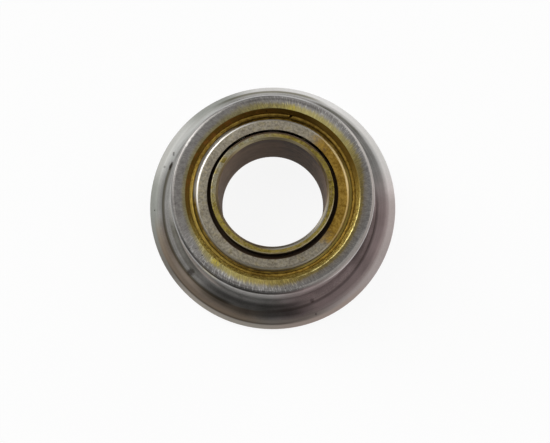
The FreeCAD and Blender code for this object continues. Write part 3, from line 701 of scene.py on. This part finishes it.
WIDE_HOLE_SIDES = ((0.1, 270, 36, 24),)
LIGHTER_HOLE_SIDE = (82, 26, 26)
BEND_WIDTH_MM = 0.35


def speckled_sheet():
    """Shields: matt speckled sheet, a little smoother at its bend with painted highlights there, painted
    light on the outer wall, amber where oil has dried.
    """
    sheet = TurnedFinish("speckled_sheet")
    speckle = sheet.noise(2.6, detail=5.0, roughness=0.7)
    patches = sheet.noise(0.7, detail=4.0)

    clean = (speckle * 0.8 + patches * 0.2).sharpened(0.2).blend(SHEET_DARK, SHEET_LIGHT)
    clean = clean.stained(sheet.noise(1.4).step(0.5, 0.7), OIL_STAIN, share=0.35)
    amber = (speckle * 0.6 + patches * 0.4).sharpened(0.14).blend(AMBER_DARK, AMBER_LIGHT)
    stain = (sheet.sector(*AMBER_SIDE) + (patches - 0.5) * 0.9 + (speckle - 0.5) * 0.5).step(0.15, 0.85)
    colour = stain.blend(clean, amber)

    on_bend = (sheet.radius + sheet.sectors(BEND_SHIFT_SIDES)).band(*BEND_BAND)
    bend = stain.blend(BEND_GREY, BEND_AMBER)
    # Painted light and painted highlights on the bend, on the sides where light falls.
    bend = bend.covered(sheet.sector(*LIT_BEND_SIDE), BEND_PAINTED_LIGHT)
    bend = bend.covered(sheet.sector(*GOLD_HIGHLIGHT_BEND_SIDE), BEND_GOLD_HIGHLIGHT, share=0.4)
    colour = colour.covered(on_bend, bend, share=0.75)
    bare_and_highlight = sheet.radius.band(*HIGHLIGHT_BEND_BAND) * sheet.sector(*HIGHLIGHT_BEND_SIDE)
    colour = colour.covered(bare_and_highlight, BEND_PAINTED_HIGHLIGHT, share=0.9)

    film = patches.sharpened(0.15).blend(OIL_BROWN, OIL_GOLD)
    # Painted light and a painted highlight on the shield's outer wall.
    film = film.covered(sheet.sector(*LIT_SHIELD_WALL_SIDE), OIL_PAINTED_LIGHT, share=0.9)
    film = film.covered(sheet.sector(*HIGHLIGHT_SHIELD_WALL_SIDE), BEND_PAINTED_HIGHLIGHT, share=0.75)
    colour = colour.covered(sheet.radius.step(*SHIELD_WALL_FADE), film)

    # Black grease and painted shade at the hole's edge, by the gap to the inner ring, with less of it at the
    # top.
    at_hole = (sheet.radius - 0.04 * patches - sheet.sectors(WIDE_HOLE_SIDES)).step(*HOLE_FADE)
    colour = colour.covered(at_hole * (1.0 - 0.8 * sheet.sector(*LIGHTER_HOLE_SIDE)), BLACK_GREASE_AND_SHADE)
    colour = colour.covered(sheet.specks(per_mm=2.0, size=0.2, share=0.07), GRIME_AND_SHADE, share=0.5)

    roughness = 0.52 - 0.06 * on_bend + 0.16 * (speckle - 0.5)
    towards_bend = ((sheet.radius - (SHIELD_CROWN_MM - BEND_WIDTH_MM)) / BEND_WIDTH_MM).clamp()
    relief = speckle * (1.0 - 0.7 * on_bend) + 6.0 * towards_bend * towards_bend
    return sheet.finish(colour, roughness, relief, relief_mm=0.015)


# Snap rings
WIRE_SHADE = srgb(240, 237, 228)
LIT_WIRE_SIDE = (205, 24, 20)
SHADED_WIRE_SIDE = (342, 40, 25)


def filmed_wire():
    """Snap rings: drawn wire under an oil film, with painted light on one side and painted shade, a little
    rougher, on another.
    """
    wire = TurnedFinish("filmed_wire")
    film = wire.noise(1.3, detail=4.0)
    grain = wire.noise(6.0)
    colour = (film * 0.6 + grain * 0.4).sharpened(0.12).blend(OIL_BROWN, OIL_GOLD)
    colour = colour.covered(wire.sector(*LIT_WIRE_SIDE), OIL_PAINTED_LIGHT, share=0.22)
    painted_shade = wire.sector(*SHADED_WIRE_SIDE)
    colour = colour.stained(painted_shade, WIRE_SHADE)
    return wire.finish(colour, 0.4 + 0.14 * painted_shade + 0.15 * (film - 0.5), grain, relief_mm=0.006)


# Cage, rivets and balls
CAGE_DARK = srgb(122, 119, 112)
CAGE_LIGHT = srgb(158, 155, 148)
RIVET_DARK = srgb(132, 130, 124)
RIVET_LIGHT = srgb(164, 162, 156)
BALL_DARK = srgb(166, 164, 160)
BALL_LIGHT = srgb(188, 187, 184)


def pressed_cage_sheet():
    sheet = TurnedFinish("pressed_cage_sheet")
    grain = sheet.noise(4.0, detail=4.0)
    colour = grain.sharpened(0.15).blend(CAGE_DARK, CAGE_LIGHT)
    colour = colour.stained(sheet.noise(0.6).step(0.4, 0.65), OIL_STAIN)
    return sheet.finish(colour, 0.4 + 0.15 * (grain - 0.5), grain, relief_mm=0.005)


def rivet_steel():
    steel = TurnedFinish("rivet_steel")
    grain = steel.noise(6.0)
    colour = grain.sharpened(0.15).blend(RIVET_DARK, RIVET_LIGHT)
    return steel.finish(colour, 0.32 + 0.15 * (grain - 0.5), grain, relief_mm=0.004)


def polished_ball():
    ball = TurnedFinish("polished_ball")
    haze = ball.noise(1.5, detail=4.0)
    colour = haze.sharpened(0.15).blend(BALL_DARK, BALL_LIGHT)
    colour = colour.stained(ball.noise(0.5).step(0.45, 0.7), OIL_STAIN, share=0.6)
    return ball.finish(colour, 0.12 + 0.1 * haze, haze, relief_mm=0.001)


def dress_pieces():
    finishes = {
        "ring_steel": ground_steel(),
        "inner_steel": oiled_steel(),
        "shield_sheet": speckled_sheet(),
        "snap_wire": filmed_wire(),
        "cage_sheet": pressed_cage_sheet(),
        "rivet_steel": rivet_steel(),
        "ball_steel": polished_ball(),
    }
    for subpart in frame["record"]["subparts"]:
        piece = frame["nodes"][subpart["node"]]
        piece.data.materials.clear()
        piece.data.materials.append(finishes[subpart["material_slot"]])


# Stage

FLOOR_SIZE = 4.0
FLOOR_COLOUR = srgb(242, 242, 241)
FLOOR_WHITE = (1.0, 1.0, 1.0, 1.0)
FLOOR_WHITE_SHARE = 0.9
ROOM_LEVEL = 0.03
# Bright panels of the room: bearing, elevation, strength and narrowness
ROOM_PANELS = (
    (142, 45, 4.6, 16.0),
    (148, 16, 5.0, 24.0),
    (55, 12, 4.4, 30.0),
    (15, 40, 3.5, 20.0),
    (315, 25, 0.9, 10.0),
    (225, 18, 0.6, 16.0),
    (0, 88, 0.5, 16.0),
)


def new_tree(owner):
    owner.use_nodes = True
    owner.node_tree.nodes.clear()
    return Field(owner.node_tree)


def seen_background(root):
    """1 for rays that show the background: straight, mirrored or refracted."""
    rays = ("Is Camera Ray", "Is Glossy Ray", "Is Transmission Ray")
    straight, mirrored, refracted = (root.node("ShaderNodeLightPath", output=ray) for ray in rays)
    return (straight + mirrored + refracted).clamp()


def make_floor():
    half = FLOOR_SIZE / 2
    corners = [(-half, -half, 0), (half, -half, 0), (half, half, 0), (-half, half, 0)]
    mesh = bpy.data.meshes.new("floor")
    mesh.from_pydata(corners, [], [(0, 1, 2, 3)])
    floor = bpy.data.objects.new("floor", mesh)
    bpy.context.scene.collection.objects.link(floor)
    material = bpy.data.materials.new("pale_floor")
    root = new_tree(material)
    paper = root.node("ShaderNodeBsdfDiffuse", {}, {"Color": FLOOR_COLOUR})
    white = root.node("ShaderNodeEmission", {}, {"Color": FLOOR_WHITE, "Strength": 1.0})
    share = seen_background(root) * FLOOR_WHITE_SHARE
    surface = root.node("ShaderNodeMixShader", {}, {0: share, 1: paper, 2: white})
    root.node("ShaderNodeOutputMaterial", {}, {"Surface": surface})
    mesh.materials.append(material)


def direction(bearing, elevation):
    turn, rise = math.radians(bearing), math.radians(elevation)
    return Vector((math.cos(rise) * math.cos(turn), math.cos(rise) * math.sin(turn), math.sin(rise)))


def make_room():
    """Dim grey room with broad bright panels."""
    world = bpy.data.worlds.new("studio_room")
    bpy.context.scene.world = world
    root = new_tree(world)
    way = root.node("ShaderNodeTexCoord", output="Generated")
    level = ROOM_LEVEL
    for bearing, elevation, strength, narrowness in ROOM_PANELS:
        towards = {0: way, 1: direction(bearing, elevation)}
        nearness = root.node("ShaderNodeVectorMath", {"operation": "DOT_PRODUCT"}, towards, "Value")
        level = level + strength * nearness.clamp() ** narrowness
    room = root.node("ShaderNodeBackground", {}, {"Color": level, "Strength": 1.0})
    root.node("ShaderNodeOutputWorld", {}, {"Surface": room})


def make_camera():
    camera = bpy.data.cameras.new("camera")
    camera.sensor_width = SENSOR_WIDTH
    camera.sensor_fit = "HORIZONTAL"
    camera.lens = CAMERA_FOCUS_PX / PHOTO_WIDTH * SENSOR_WIDTH
    camera.clip_start, camera.clip_end = CAMERA_CLIP
    view = bpy.data.objects.new("camera", camera)
    bpy.context.scene.collection.objects.link(view)
    aim = Matrix.Translation((0, 0, INNER_FACE_MM / MM_PER_M))
    lean = Matrix.Rotation(math.radians(CAMERA_TILT), 4, "X")
    view.matrix_world = aim @ lean @ Matrix.Translation((*CAMERA_ASIDE, CAMERA_DISTANCE))
    bpy.context.scene.camera = view


dress_pieces()
make_floor()
make_room()
make_camera()
bpy.context.scene.view_settings.view_transform = "Standard"
